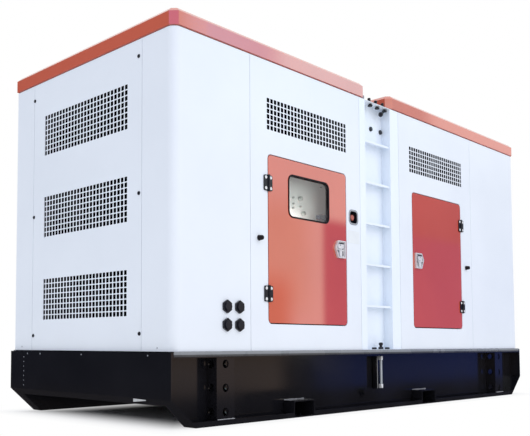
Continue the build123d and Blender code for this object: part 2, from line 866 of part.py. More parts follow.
# The rear doors are part of the fixed housing
save("rear_doors", to_rear(door_leaf(door_left_start, door_left_width)),
     to_rear(door_leaf(door_right_start, door_right_width)))
rear_hinges = [hinge + leaf for hinge, leaf in zip(wall_hinges(axis_left, -1), door_hinges(axis_left, 1))]
rear_hinges += [hinge + leaf for hinge, leaf in zip(wall_hinges(axis_right, 1), door_hinges(axis_right, -1))]
rear_latches = [latch_body(latch_left, 1) + latch_paddle(latch_left),
                latch_body(latch_right, -1) + latch_paddle(latch_right)]
save("rear_hinges", *[to_rear(hinge) for hinge in rear_hinges])
save("rear_latches", *[to_rear(latch) for latch in rear_latches])

# Small fittings
save("cable_glands", *gland_caps())
save("stop_housing", stop_housing())
save("stop_button", stop_button())
save("control_cabinet", control_cabinet())
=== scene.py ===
# %% [markdown]
# # A soundproofed diesel generator, dressed in Blender
# The solids of the generator come ready made from the CAD source. They arrive as a fixed frame: every
# panel, door and beam is already in its place, in metres, with the floor at Z = 0 and the ladder side
# facing -Y. This lesson gives each of them a finish and adds the small things that a CAD model leaves
# out: perforated sheets, screws, knobs, plugs and glass tubes.

# %% Load the frame
import json
import math

import bmesh
import bpy
from mathutils import Matrix, Vector


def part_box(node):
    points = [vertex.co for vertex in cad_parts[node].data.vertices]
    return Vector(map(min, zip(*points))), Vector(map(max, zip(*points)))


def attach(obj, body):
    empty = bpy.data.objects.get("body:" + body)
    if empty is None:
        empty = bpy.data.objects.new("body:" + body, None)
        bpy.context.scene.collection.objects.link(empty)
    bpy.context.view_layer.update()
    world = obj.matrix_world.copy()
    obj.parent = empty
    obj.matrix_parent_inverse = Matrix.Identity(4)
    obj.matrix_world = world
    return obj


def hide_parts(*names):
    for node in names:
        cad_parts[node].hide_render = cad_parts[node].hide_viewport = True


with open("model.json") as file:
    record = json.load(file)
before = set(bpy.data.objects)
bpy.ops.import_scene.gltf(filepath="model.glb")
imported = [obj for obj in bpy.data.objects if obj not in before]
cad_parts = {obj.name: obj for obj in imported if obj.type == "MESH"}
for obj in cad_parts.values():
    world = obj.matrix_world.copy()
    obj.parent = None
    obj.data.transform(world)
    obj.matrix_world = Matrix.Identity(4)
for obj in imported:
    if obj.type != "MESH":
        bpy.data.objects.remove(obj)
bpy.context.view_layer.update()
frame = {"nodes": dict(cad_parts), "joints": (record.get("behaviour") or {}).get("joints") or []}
nodes = frame["nodes"]

# %% [markdown]
# The same few places are used again and again, so they get names. They are read from the CAD nodes
# where a node shows them, so that a screw stays on its panel if the panel ever moves.

# %% Places on the canopy
wall_low, wall_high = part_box("corner_panels_front")
roof_low, roof_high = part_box("roof_deck")
LEFT = wall_low.x
RIGHT = wall_high.x
FRONT = wall_low.y
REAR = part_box("corner_panels_rear")[1].y
SKID_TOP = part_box("skid_ends")[1].z
print("front face Y", round(FRONT, 3), "left end X", round(LEFT, 3), "skid top", round(SKID_TOP, 3))


def from_left(place):
    """A place along the front, from the canopy's left end."""
    return LEFT + place


# %% [markdown]
# ## Finishes
# A painted steel sheet is never one flat colour. Spray paint has a fine orange peel, long panels vary
# a little from patch to patch, and dust settles low down. These three effects turn up in many
# finishes, so each is a node group that is made once. A group gives out only a mask or a height, and
# each material decides what to do with it.

# %% A helper for node trees
def link_nodes(tree, start, start_socket, end, end_socket):
    tree.links.new(start.outputs[start_socket], end.inputs[end_socket])


def new_group(name, inputs):
    """An empty shader node group with named value inputs and one output called Mask."""
    group = bpy.data.node_groups.new(name, "ShaderNodeTree")
    for label, value in inputs:
        socket = group.interface.new_socket(name=label, in_out="INPUT", socket_type="NodeSocketFloat")
        socket.default_value = value
    group.interface.new_socket(name="Mask", in_out="OUTPUT", socket_type="NodeSocketFloat")
    start = group.nodes.new("NodeGroupInput")
    end = group.nodes.new("NodeGroupOutput")
    coordinates = group.nodes.new("ShaderNodeTexCoord")
    return group, start, end, coordinates


# %% Orange peel: the fine ripple of sprayed enamel
peel, start, end, coordinates = new_group("orange_peel", [("Size", 260.0)])
ripple = peel.nodes.new("ShaderNodeTexNoise")
ripple.inputs["Detail"].default_value = 2.0
link_nodes(peel, coordinates, "Object", ripple, "Vector")
link_nodes(peel, start, "Size", ripple, "Scale")
link_nodes(peel, ripple, "Fac", end, "Mask")
print("group", peel.name)

# %% Patches: slow changes over a large sheet
patches, start, end, coordinates = new_group("sheet_patches", [("Size", 1.3)])
cloud = patches.nodes.new("ShaderNodeTexNoise")
cloud.inputs["Detail"].default_value = 4.0
cloud.inputs["Roughness"].default_value = 0.55
link_nodes(patches, coordinates, "Object", cloud, "Vector")
link_nodes(patches, start, "Size", cloud, "Scale")
link_nodes(patches, cloud, "Fac", end, "Mask")
print("group", patches.name)

# %% Settled dust: thickest at a low height, broken up by a coarse noise
dust, start, end, coordinates = new_group("settled_dust", [("Low", 0.42), ("High", 0.75), ("Amount", 0.5)])
split = dust.nodes.new("ShaderNodeSeparateXYZ")
fade = dust.nodes.new("ShaderNodeMapRange")
fade.interpolation_type = "SMOOTHSTEP"
fade.inputs["To Min"].default_value = 1.0
fade.inputs["To Max"].default_value = 0.0
speckle = dust.nodes.new("ShaderNodeTexNoise")
speckle.inputs["Scale"].default_value = 9.0
speckle.inputs["Detail"].default_value = 6.0
times = dust.nodes.new("ShaderNodeMath")
times.operation = "MULTIPLY"
scaled = dust.nodes.new("ShaderNodeMath")
scaled.operation = "MULTIPLY"
link_nodes(dust, coordinates, "Object", split, "Vector")
link_nodes(dust, coordinates, "Object", speckle, "Vector")
link_nodes(dust, split, "Z", fade, "Value")
link_nodes(dust, start, "Low", fade, "From Min")
link_nodes(dust, start, "High", fade, "From Max")
link_nodes(dust, fade, "Result", times, 0)
link_nodes(dust, speckle, "Fac", times, 1)
link_nodes(dust, times, "Value", scaled, 0)
link_nodes(dust, start, "Amount", scaled, 1)
link_nodes(dust, scaled, "Value", end, "Mask")
print("group", dust.name)


# %% [markdown]
# Every finish has the same bones: a base colour that moves a little between two tones, a roughness
# that moves with it, a fine bump, and sometimes dust. One function builds them, and each call gives
# the numbers of one real finish. What is the same all over a surface is set straight on the shader.

# %% The finish builder
def mix_colour(tree, mask_node, mask_socket, low, high):
    """A colour mix that goes from low to high as the mask goes from 0 to 1."""
    mix = tree.nodes.new("ShaderNodeMix")
    mix.data_type = "RGBA"
    for socket, value in (("A", low), ("B", high)):
        found = [s for s in mix.inputs if s.name == socket and s.type == "RGBA"][0]
        if isinstance(value, tuple):
            found.default_value = (*value, 1.0)
        else:
            tree.links.new(value, found)
    factor = [s for s in mix.inputs if s.name == "Factor" and s.type == "VALUE"][0]
    tree.links.new(mask_node.outputs[mask_socket], factor)
    return [s for s in mix.outputs if s.type == "RGBA"][0]


def place_group(tree, group, **values):
    node = tree.nodes.new("ShaderNodeGroup")
    node.node_tree = group
    for label, value in values.items():
        node.inputs[label].default_value = value
    return node


def spread(tree, node, socket, low, high, to_low, to_high):
    """Stretches a mask from low..high to to_low..to_high."""
    fitted = tree.nodes.new("ShaderNodeMapRange")
    fitted.inputs["From Min"].default_value = low
    fitted.inputs["From Max"].default_value = high
    fitted.inputs["To Min"].default_value = to_low
    fitted.inputs["To Max"].default_value = to_high
    link_nodes(tree, node, socket, fitted, "Value")
    return fitted


def finish(name, dark, light, rough, patch_size=1.3, peel_size=260.0, bump=0.05, metallic=0.0,
           specular=0.5, dust_tone=None, dust_from=0.0, dust_to=0.5, dust_amount=0.0, coat=0.0,
           coat_ior=1.5):
    """A procedural material: two tones, a roughness range, a fine bump and settled dust."""
    material = bpy.data.materials.new(name)
    material.use_nodes = True
    tree = material.node_tree
    shader = [n for n in tree.nodes if n.type == "BSDF_PRINCIPLED"][0]
    patch = place_group(tree, patches, Size=patch_size)
    toned = spread(tree, patch, "Mask", 0.3, 0.7, 0.0, 1.0)
    colour = mix_colour(tree, toned, "Result", dark, light)
    roughness = spread(tree, patch, "Mask", 0.3, 0.7, rough[0], rough[1])
    if dust_amount:
        settled = place_group(tree, dust, Low=dust_from, High=dust_to, Amount=dust_amount)
        colour = mix_colour(tree, settled, "Mask", colour, dust_tone)
        plus = tree.nodes.new("ShaderNodeMath")
        plus.operation = "ADD"
        plus.use_clamp = True
        link_nodes(tree, roughness, "Result", plus, 0)
        link_nodes(tree, settled, "Mask", plus, 1)
        link_nodes(tree, plus, "Value", shader, "Roughness")
    else:
        link_nodes(tree, roughness, "Result", shader, "Roughness")
    tree.links.new(colour, shader.inputs["Base Color"])
    ripple = place_group(tree, peel, Size=peel_size)
    relief = tree.nodes.new("ShaderNodeBump")
    relief.inputs["Strength"].default_value = bump
    relief.inputs["Distance"].default_value = 0.001
    link_nodes(tree, ripple, "Mask", relief, "Height")
    link_nodes(tree, relief, "Normal", shader, "Normal")
    shader.inputs["Metallic"].default_value = metallic
    shader.inputs["Specular IOR Level"].default_value = specular
    shader.inputs["Coat Weight"].default_value = coat
    shader.inputs["Coat Roughness"].default_value = 0.04
    shader.inputs["Coat IOR"].default_value = coat_ior
    print("finish", name)
    return material


# %% The finishes of this generator
white_enamel = finish("white_enamel", (0.76, 0.81, 0.89), (0.80, 0.85, 0.93), (0.30, 0.38), bump=0.03,
                      dust_tone=(0.62, 0.62, 0.60), dust_from=0.43, dust_to=0.75, dust_amount=0.10)
door_enamel = finish("door_enamel", (0.56, 0.072, 0.032), (0.62, 0.085, 0.040), (0.30, 0.40), bump=0.008,
                     specular=0.05, coat=1.0, coat_ior=2.45)
roof_enamel = finish("roof_enamel", (0.63, 0.126, 0.070), (0.69, 0.140, 0.082), (0.30, 0.40), bump=0.01,
                     specular=0.05, coat=1.0, coat_ior=2.6)
skid_enamel = finish("skid_enamel", (0.006, 0.006, 0.008), (0.009, 0.009, 0.012), (0.06, 0.16), bump=0.015,
                     patch_size=2.2, specular=0.5, dust_tone=(0.05, 0.045, 0.04), dust_from=0.0,
                     dust_to=0.10, dust_amount=0.03)
tank_enamel = finish("tank_enamel", (0.008, 0.008, 0.009), (0.012, 0.012, 0.013), (0.5, 0.6), specular=0.1)
black_moulding = finish("black_moulding", (0.006, 0.007, 0.013), (0.011, 0.012, 0.020), (0.28, 0.42),
                        patch_size=14.0, peel_size=900.0, bump=0.08, specular=0.45)
black_rubber = finish("black_rubber", (0.010, 0.007, 0.010), (0.016, 0.011, 0.014), (0.5, 0.65),
                      patch_size=20.0, peel_size=1200.0, bump=0.15, specular=0.15)
bright_zinc = finish("bright_zinc", (0.84, 0.85, 0.88), (0.92, 0.93, 0.95), (0.28, 0.40), patch_size=30.0,
                     peel_size=900.0, bump=0.06, metallic=0.25)
chrome_plate = finish("chrome_plate", (0.74, 0.73, 0.77), (0.86, 0.85, 0.88), (0.28, 0.40), patch_size=25.0,
                      peel_size=600.0, bump=0.05, metallic=0.35)
stop_red = finish("stop_red", (0.36, 0.09, 0.07), (0.46, 0.13, 0.10), (0.18, 0.28), patch_size=30.0,
                  peel_size=900.0, bump=0.04)
cabinet_enamel = finish("cabinet_enamel", (0.74, 0.78, 0.76), (0.82, 0.86, 0.85), (0.4, 0.5), patch_size=4.0)
# Near black: the foam's own dark tone, deepened as painted shade of the canopy's inside.
foam_and_painted_shade = finish("foam_and_painted_shade", (0.002, 0.002, 0.004), (0.005, 0.005, 0.008), (0.9, 1.0), patch_size=60.0,
                    peel_size=160.0, bump=0.6, specular=0.05)
pale_plate = finish("pale_plate", (0.74, 0.78, 0.83), (0.79, 0.83, 0.87), (0.35, 0.5), patch_size=12.0,
                    bump=0.05)
# A lighter, bluer copy of the white enamel for the ladder recess: painted light, the blue sky light that falls
# into the recess.
recess_enamel_brightened = finish("recess_enamel_brightened", (0.80, 0.87, 0.97), (0.83, 0.90, 0.99), (0.30, 0.38), bump=0.03)
grey_rim = finish("grey_rim", (0.26, 0.28, 0.32), (0.38, 0.40, 0.44), (0.25, 0.4), patch_size=20.0,
                  peel_size=900.0, bump=0.05)


# %% [markdown]
# Glass is the one finish that needs another shader setting: light passes through it. The window of
# the left door is a flat tinted pane, a little dirty, so its roughness moves with the patches.

# %% Window glass
def clear_finish(name, tint, rough):
    material = finish(name, tint, tint, rough, patch_size=6.0, peel_size=40.0, bump=0.01)
    shader = [n for n in material.node_tree.nodes if n.type == "BSDF_PRINCIPLED"][0]
    shader.inputs["Transmission Weight"].default_value = 0.98
    shader.inputs["Specular IOR Level"].default_value = 0.25
    shader.inputs["IOR"].default_value = 1.45
    return material


window_glass = clear_finish("window_glass", (0.96, 0.985, 0.97), (0.02, 0.06))

# %% [markdown]
# The CAD nodes stay as they are. Only the material in their slot changes.

# %% Give every CAD node its finish
finishes = {
    "skid_beam_front": skid_enamel, "skid_beam_rear": skid_enamel, "skid_ends": skid_enamel,
    "fork_sleeves": skid_enamel, "lifting_posts": skid_enamel, "level_gauge": skid_enamel,
    "drain_plug": skid_enamel, "deck": skid_enamel, "fuel_tank": tank_enamel,
    "corner_panels_front": white_enamel, "corner_panels_rear": white_enamel, "end_panels": white_enamel,
    "end_grilles": white_enamel, "side_grilles": white_enamel, "door_jambs": white_enamel,
    "walls_over_doors": white_enamel, "walls_under_doors": white_enamel, "rear_wall_left": white_enamel,
    "rear_wall_right": white_enamel, "rear_centre_strip": white_enamel, "ladder_channel": recess_enamel_brightened,
    "ladder_rungs": recess_enamel_brightened, "roof_deck": white_enamel, "roof_cap_left": roof_enamel,
    "roof_cap_right": roof_enamel, "door_seals": black_rubber, "rear_doors": door_enamel,
    "rear_hinges": black_moulding, "rear_latches": chrome_plate, "wall_hinges": black_moulding,
    "bumpers": black_rubber, "cable_glands": black_moulding, "stop_housing": black_moulding,
    "control_cabinet": cabinet_enamel, "door_left": door_enamel, "door_left_gasket": black_rubber,
    "door_left_glass": window_glass, "door_left_hinges": black_moulding, "door_left_latch": chrome_plate,
    "door_right": door_enamel, "door_right_hinges": black_moulding, "door_right_latch": chrome_plate,
    "paddle_left": chrome_plate, "paddle_right": chrome_plate, "stop_button": stop_red,
}
for name, node in nodes.items():
    for place in node.material_slots:
        place.material = finishes[name]
print("finishes given to", len(finishes), "nodes, missing", sorted(set(nodes) - set(finishes)))


# %% [markdown]
# ## Tools for modelling
# New pieces are made as by hand: a primitive, then edit mode. Each starts from a clean selection,
# because an operator acts on everything that is selected. A finished piece has its place in its mesh,
# so its object is moved to the origin at the end.

# %% Selection and finishing helpers
def start_clean():
    if bpy.context.object and bpy.context.object.mode != "OBJECT":
        bpy.ops.object.mode_set(mode="OBJECT")
    bpy.ops.object.select_all(action="DESELECT")


def named(name):
    piece = bpy.context.object
    piece.name = name
    piece.data.name = name
    return piece


def select_faces(piece, wanted):
    """Edit mode on the piece, with only the faces selected for which wanted(face) is true."""
    bpy.context.view_layer.objects.active = piece
    bpy.ops.object.mode_set(mode="EDIT")
    bpy.ops.mesh.select_mode(type="FACE")
    bpy.ops.mesh.select_all(action="DESELECT")
    mesh = bmesh.from_edit_mesh(piece.data)
    for face in mesh.faces:
        face.select_set(bool(wanted(face)))
    bmesh.update_edit_mesh(piece.data)


def select_edges(piece, wanted):
    """The same for edges."""
    bpy.context.view_layer.objects.active = piece
    bpy.ops.object.mode_set(mode="EDIT")
    bpy.ops.mesh.select_mode(type="EDGE")
    bpy.ops.mesh.select_all(action="DESELECT")
    mesh = bmesh.from_edit_mesh(piece.data)
    for edge in mesh.edges:
        edge.select_set(bool(wanted(edge)))
    bmesh.update_edit_mesh(piece.data)


def leave_edit():
    bpy.ops.object.mode_set(mode="OBJECT")


def settle(piece, body, material, smooth_angle=30):
    """Puts the piece's place in its mesh, smooths it, and hands it to its body."""
    start_clean()
    piece.select_set(True)
    bpy.context.view_layer.objects.active = piece
    bpy.ops.object.transform_apply(location=True, rotation=True, scale=True)
    bpy.ops.object.shade_smooth_by_angle(angle=math.radians(smooth_angle))
    piece.data.materials.clear()
    piece.data.materials.append(material)
    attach(piece, body)
    return piece


def copy_of(piece, name):
    """A copy with its own mesh."""
    twin = piece.copy()
    twin.data = piece.data.copy()
    twin.name = name
    twin.data.name = name
    bpy.context.scene.collection.objects.link(twin)
    return twin


def apply_modifier(piece, kind, **values):
    start_clean()
    piece.select_set(True)
    bpy.context.view_layer.objects.active = piece
    modifier = piece.modifiers.new(kind.lower(), kind)
    for label, value in values.items():
        setattr(modifier, label, value)
    bpy.ops.object.modifier_apply(modifier=modifier.name)


# %% A box with soft edges, the start of many small parts
def box_piece(name, low, high, soft):
    """A box between two corners with soft edges."""
    start_clean()
    middle = [(a + b) / 2 for a, b in zip(low, high)]
    bpy.ops.mesh.primitive_cube_add(size=1)
    piece = named(name)
    piece.scale = [b - a for a, b in zip(low, high)]
    bpy.ops.object.transform_apply(location=False, rotation=False, scale=True)
    bpy.ops.object.mode_set(mode="EDIT")
    bpy.ops.mesh.select_all(action="SELECT")
    bpy.ops.mesh.bevel(offset=soft, segments=2)
    leave_edit()
    piece.location = middle
    return piece


# %% [markdown]
# ## Perforated grilles
# The air grilles are punched sheets: rows of nearly square holes with slightly soft corners, with
# wider bars between the columns than between the rows. The CAD node only has a few long slots. Here a
# grid of faces is inset, one face at a time, and the inner faces are deleted. An inset has the same
# width on all sides, so the grid is squeezed sideways first and stretched back afterwards, which makes
# the upright bars wider.

# %% One punched sheet
HOLE_PITCH_X = 0.0348
HOLE_PITCH_Z = 0.0350
BAR_BETWEEN_ROWS = 0.0065
BAR_BETWEEN_COLUMNS = 0.0090
SHEET_THICKNESS = 0.0009
SQUEEZE = BAR_BETWEEN_ROWS / BAR_BETWEEN_COLUMNS


def punched_sheet(name, columns, rows, width, height):
    """A punched sheet lying flat round the origin, with its outer border stretched to width and height."""
    start_clean()
    bpy.ops.mesh.primitive_grid_add(x_subdivisions=columns, y_subdivisions=rows, size=1)
    sheet = named(name)
    sheet.scale = (columns * HOLE_PITCH_X * SQUEEZE, rows * HOLE_PITCH_Z, 1)
    bpy.ops.object.transform_apply(location=False, rotation=False, scale=True)
    bpy.ops.object.mode_set(mode="EDIT")
    bpy.ops.mesh.select_all(action="SELECT")
    bpy.ops.mesh.inset(thickness=BAR_BETWEEN_ROWS / 2, use_individual=True)
    mesh = bmesh.from_edit_mesh(sheet.data)
    hole_area = max(face.calc_area() for face in mesh.faces)
    select_faces(sheet, lambda face: face.calc_area() > 0.9 * hole_area)
    bpy.ops.mesh.select_mode(type="VERT")
    bpy.ops.mesh.bevel(offset=0.0018, offset_pct=0, affect="VERTICES", segments=1)
    mesh = bmesh.from_edit_mesh(sheet.data)
    hole_area = max(face.calc_area() for face in mesh.faces)
    select_faces(sheet, lambda face: face.calc_area() > 0.9 * hole_area)
    bpy.ops.mesh.delete(type="FACE")
    leave_edit()
    half_x = columns * HOLE_PITCH_X * SQUEEZE / 2
    half_y = rows * HOLE_PITCH_Z / 2
    reach_x = (width / 2) * SQUEEZE - half_x
    reach_y = height / 2 - half_y
    for side in (-1, 1):
        select_edges(sheet, lambda edge: all(abs(v.co.x - side * half_x) < 1e-5 for v in edge.verts))
        bpy.ops.transform.translate(value=(side * reach_x, 0, 0))
        select_edges(sheet, lambda edge: all(abs(v.co.y - side * half_y) < 1e-5 for v in edge.verts))
        bpy.ops.transform.translate(value=(0, side * reach_y, 0))
    leave_edit()
    sheet.scale = (1 / SQUEEZE, 1, 1)
    bpy.ops.object.transform_apply(location=False, rotation=False, scale=True)
    apply_modifier(sheet, "SOLIDIFY", thickness=SHEET_THICKNESS, offset=-1.0)
    print(name, "faces", len(sheet.data.polygons))
    return sheet


def stand_up(piece, x, y, z, turn):
    """Turns a piece that lies flat so that its top faces -Y, then turns it about Z and moves it."""
    piece.matrix_world = (Matrix.Translation((x, y, z)) @ Matrix.Rotation(math.radians(turn), 4, "Z")
                          @ Matrix.Rotation(math.radians(90), 4, "X"))


# %% [markdown]
# Behind each punched sheet lies dark sound-absorbing foam. Its near-black colour is partly the foam's
# own tone and partly painted shade from the dark inside of the canopy; together they make the holes
# look black. It is a slab with soft edges, set into the wall behind the sheet.

# %% Foam behind a grille
def foam_slab(name, width, height):
    start_clean()
    bpy.ops.mesh.primitive_cube_add(size=1)
    slab = named(name)
    slab.scale = (width - 0.002, height - 0.002, 0.010)
    bpy.ops.object.transform_apply(location=False, rotation=False, scale=True)
    select_faces(slab, lambda face: face.normal.z > 0.9)
    bpy.ops.mesh.inset(thickness=0.006)
    bpy.ops.transform.translate(value=(0, 0, 0.003))
    leave_edit()
    return slab


# %% Sheets and foam for the ends and the long sides
end_low, end_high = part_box("end_grilles")
side_low, side_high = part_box("side_grilles")
END_SIZE = (25 * HOLE_PITCH_X + 0.020 + 0.016, 7 * HOLE_PITCH_Z + 0.027 + 0.016)
SIDE_SIZE = (24 * HOLE_PITCH_X + 0.020 + 0.016, 5 * HOLE_PITCH_Z + 0.027 + 0.016)
end_middle = (end_low.y + end_high.y) / 2
end_heights = [end_low.z + END_SIZE[1] / 2, (end_low.z + end_high.z) / 2, end_high.z - END_SIZE[1] / 2]
side_height = (side_low.z + side_high.z) / 2
side_places = [side_low.x + SIDE_SIZE[0] / 2, side_high.x - SIDE_SIZE[0] / 2]

end_sheet = punched_sheet("end_sheet", 26, 8, *END_SIZE)
side_sheet = punched_sheet("side_sheet", 25, 6, *SIDE_SIZE)
end_foam = foam_slab("end_foam", *END_SIZE)
side_foam = foam_slab("side_foam", *SIDE_SIZE)

spots = [("left", LEFT, end_middle, height, -90) for height in end_heights]
spots += [("right", RIGHT, end_middle, height, 90) for height in end_heights]
sides = [("front", place, FRONT, side_height, 0) for place in side_places]
sides += [("rear", place, REAR, side_height, 180) for place in side_places]
FOAM_DEPTH = 0.014


def place_grilles(sheet, foam, places, node):
    for number, (side, x, y, z, turn) in enumerate(places):
        inward = Matrix.Rotation(math.radians(turn), 3, "Z") @ Vector((0, FOAM_DEPTH, 0))
        panel = copy_of(sheet, f"{node}_sheet_{side}_{number}")
        stand_up(panel, x, y, z, turn)
        settle(panel, "housing", white_enamel)
        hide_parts(node)
        liner = copy_of(foam, f"{node}_foam_{side}_{number}")
        stand_up(liner, x + inward.x, y + inward.y, z, turn)
        settle(liner, "housing", foam_and_painted_shade)


place_grilles(end_sheet, end_foam, spots, "end_grilles")
place_grilles(side_sheet, side_foam, sides, "side_grilles")
for pattern in (end_sheet, side_sheet, end_foam, side_foam):
    bpy.data.objects.remove(pattern)
print("grilles placed:", len(spots) + len(sides))

# %% [markdown]
# ## Screws and bolts
# A screw head is a short cylinder with a rounded rim and a socket in its face. It is modelled once,
# lying flat, and each screw is a copy of it, scaled to its own size.

# %% One screw head
def screw_head(name):
    """A round head of radius 1 and height 0.45, with a socket in its top."""
    start_clean()
    bpy.ops.mesh.primitive_cylinder_add(vertices=24, radius=1, depth=0.45, location=(0, 0, 0.225))
    head = named(name)
    bpy.ops.object.transform_apply(location=True, rotation=False, scale=False)
    select_edges(head, lambda edge: all(v.co.z > 0.44 for v in edge.verts))
    bpy.ops.mesh.bevel(offset=0.25, segments=3)
    select_faces(head, lambda face: face.normal.z > 0.99 and face.calc_area() > 0.5)
    bpy.ops.mesh.inset(thickness=0.32)
    bpy.ops.mesh.inset(thickness=0.06, depth=-0.22)
    leave_edit()
    return head


screw_pattern = screw_head("screw_pattern")
screw_count = 0


def screw(x, y, z, radius, turn, body, material, flat=1.0):
    """A screw head at a point of a wall. turn 0 faces -Y and None faces up."""
    global screw_count
    screw_count += 1
    head = copy_of(screw_pattern, f"screw_{screw_count:03d}")
    if turn is None:
        head.matrix_world = Matrix.Translation((x, y, z))
    else:
        stand_up(head, x, y, z, turn)
    head.scale = (radius, radius, radius * flat)
    return settle(head, body, material)


# %% Screws that hold the end panels, on both ends
panel_screws = [(1.434, 2.167), (0.304, 2.174), (1.430, 1.347), (0.299, 1.354), (1.422, 0.529),
                (0.290, 0.532)]
for place, height in panel_screws:
    screw(LEFT, FRONT + place, height, 0.0115, -90, "housing", black_moulding)
    screw(RIGHT, FRONT + place, height, 0.0115, 90, "housing", black_moulding)
for place in (0.186, 0.825, 1.295, 1.453):
    screw(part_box("skid_ends")[0].x, FRONT + place, 0.407, 0.0045, -90, "housing", grey_rim)
    screw(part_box("skid_ends")[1].x, FRONT + place, 0.407, 0.0045, 90, "housing", grey_rim)
for place, height in ((1.566, 0.454), (0.134, 0.450)):
    screw(LEFT, FRONT + place, height, 0.005, -90, "housing", grey_rim, flat=0.4)
    screw(RIGHT, FRONT + place, height, 0.005, 90, "housing", grey_rim, flat=0.4)
print("panel and skid screws:", screw_count)

# %% [markdown]
# Each hinge is held by four bright screws, two in the leaf on the wall and two in the leaf on the
# door. The ones in a door's leaf ride on that door.

# %% Hinge screws
leaf_low, leaf_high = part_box("wall_hinges")
HINGE_REACH_DOOR = 0.020
HINGE_REACH_WALL = 0.026
HINGE_RISE = 0.034
LEAF_FACE = 0.007
knuckle_half = (leaf_high.z - leaf_low.z - 0.7) / 2
hinge_heights = [leaf_low.z + knuckle_half, leaf_high.z - knuckle_half]
hinge_axes = {joint["child"]: joint["pos_m"][0] for joint in frame["joints"] if "hinge" in joint["name"]}
AXIS_LEFT = hinge_axes["door_left"]
AXIS_RIGHT = hinge_axes["door_right"]
for axis, side, body in ((AXIS_LEFT, 1, "door_left"), (AXIS_RIGHT, -1, "door_right")):
    for height in hinge_heights:
        for rise in (-HINGE_RISE, HINGE_RISE):
            for away, rider in ((side * HINGE_REACH_DOOR, body), (-side * HINGE_REACH_WALL, "housing")):
                screw(axis + away, FRONT - LEAF_FACE, height + rise, 0.0102, 0, rider, bright_zinc,
                      flat=0.5)
                screw(axis + away, REAR + LEAF_FACE, height + rise, 0.0102, 180, "housing", bright_zinc,
                      flat=0.5)
print("screws so far:", screw_count)

# %% [markdown]
# ## Latches
# The latch is a bright dish with a raised rim, and the CAD node gives the dish, the lock barrel and the
# pull. What is missing is the black between them, where the moving parts sit in slots. Three thin dark
# plates paint it as shade: a painted shadow under the upper rim, and painted shade in the slot beside
# the barrel and in the gap between the barrel and the pull. Then the barrel gets its screw.

# %% Painted shade in the latch gaps
dish_low, dish_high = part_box("door_left_latch")
LATCH_HEIGHT = (dish_low.z + dish_high.z) / 2
LATCH_FLOOR = 0.004
# The three dark plates are painted shade: the shadow under the upper rim, the shade in the slot beside the
# barrel, and the shade between the barrel and the pull.
shade_gap_shapes = [(0.004, 0.041, 0.058, 0.009, 0.015), (0.034, -0.004, 0.008, 0.080, 0.006),
              (-0.030, -0.012, 0.030, 0.009, 0.010)]


def shade_gap_plate(name, x, z, width, height, out):
    """A thin plate lying flat at x, z with rounded corners and its top at height out."""
    start_clean()
    bpy.ops.mesh.primitive_cube_add(size=1)
    plate = named(name)
    plate.scale = (width, height, 0.001)
    bpy.ops.object.transform_apply(location=False, rotation=False, scale=True)
    select_edges(plate, lambda edge: abs(edge.verts[0].co.z - edge.verts[1].co.z) > 0.0005)
    bpy.ops.mesh.bevel(offset=0.4 * min(width, height), segments=3)
    bpy.ops.mesh.select_all(action="SELECT")
    bpy.ops.transform.translate(value=(x, z, out))
    leave_edit()
    return plate


latch_places = [(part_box("door_left_latch"), 1, "door_left"), (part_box("door_right_latch"), -1, "door_right")]
for (low, high), side, body in latch_places:
    middle = (low.x + high.x) / 2
    for face, turn, rider in ((FRONT, 0, body), (REAR, 180, "housing")):
        out = -1 if turn == 0 else 1
        for number, (gap_x, gap_z, wide, tall, depth) in enumerate(shade_gap_shapes):
            gap = shade_gap_plate(f"latch_gap_{rider}_{body}_{number}", -out * side * gap_x, gap_z, wide, tall, depth)
            stand_up(gap, middle, face, LATCH_HEIGHT, turn)
            settle(gap, rider, black_moulding)
        screw(middle - side * 0.006, face + out * (LATCH_FLOOR + 0.011), LATCH_HEIGHT + 0.028, 0.006, turn, rider,
              grey_rim, flat=0.4)
print("latches dressed:", len(latch_places))

# %% [markdown]
# ## Behind the window
# The window shows the front of the control cabinet. It has a few round knobs and, low on the right, a
# dark blue handle. A knob is a disc with a chamfered front and a finger grip sunk in its middle.

# %% Knobs and handle on the cabinet
cabinet_low, cabinet_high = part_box("control_cabinet")
PLATE_THICKNESS = 0.003
PLATE_OVERHANG = 0.126
PLATE_HEIGHT = 0.516
CABINET_FACE = cabinet_low.y - PLATE_THICKNESS
front_plate = box_piece("cabinet_front_plate", (cabinet_low.x, CABINET_FACE, cabinet_high.z - PLATE_HEIGHT),
                        (cabinet_high.x + PLATE_OVERHANG, cabinet_low.y, cabinet_high.z), 0.001)
settle(front_plate, "housing", cabinet_enamel)
knob_grey = finish("knob_grey", (0.26, 0.29, 0.27), (0.34, 0.37, 0.35), (0.4, 0.5), patch_size=20.0)


def knob(name, x, z, radius, depth):
    start_clean()
    bpy.ops.mesh.primitive_cylinder_add(vertices=32, radius=radius, depth=depth, location=(0, 0, depth / 2))
    piece = named(name)
    bpy.ops.object.transform_apply(location=True, rotation=False, scale=False)
    select_edges(piece, lambda edge: all(v.co.z > depth * 0.95 for v in edge.verts))
    bpy.ops.mesh.bevel(offset=depth * 0.25, segments=2)
    select_faces(piece, lambda face: face.normal.z > 0.99 and face.calc_area() > radius * radius)
    bpy.ops.mesh.inset(thickness=radius * 0.35)
    bpy.ops.mesh.inset(thickness=radius * 0.05, depth=-depth * 0.3)
    leave_edit()
    stand_up(piece, x, CABINET_FACE, z, 0)
    return settle(piece, "housing", knob_grey)


knob("cabinet_knob_1", -0.941, 1.466, 0.016, 0.024)
knob("cabinet_knob_2", -0.937, 1.412, 0.007, 0.014)
knob("cabinet_knob_3", -0.910, 1.366, 0.016, 0.024)
knob("cabinet_lamp_1", -1.012, 1.465, 0.007, 0.012)
knob("cabinet_lamp_2", -1.012, 1.424, 0.007, 0.012)
knob("cabinet_lamp_3", -1.016, 1.394, 0.007, 0.012)
knob("cabinet_lamp_4", -0.700, 1.580, 0.006, 0.010)

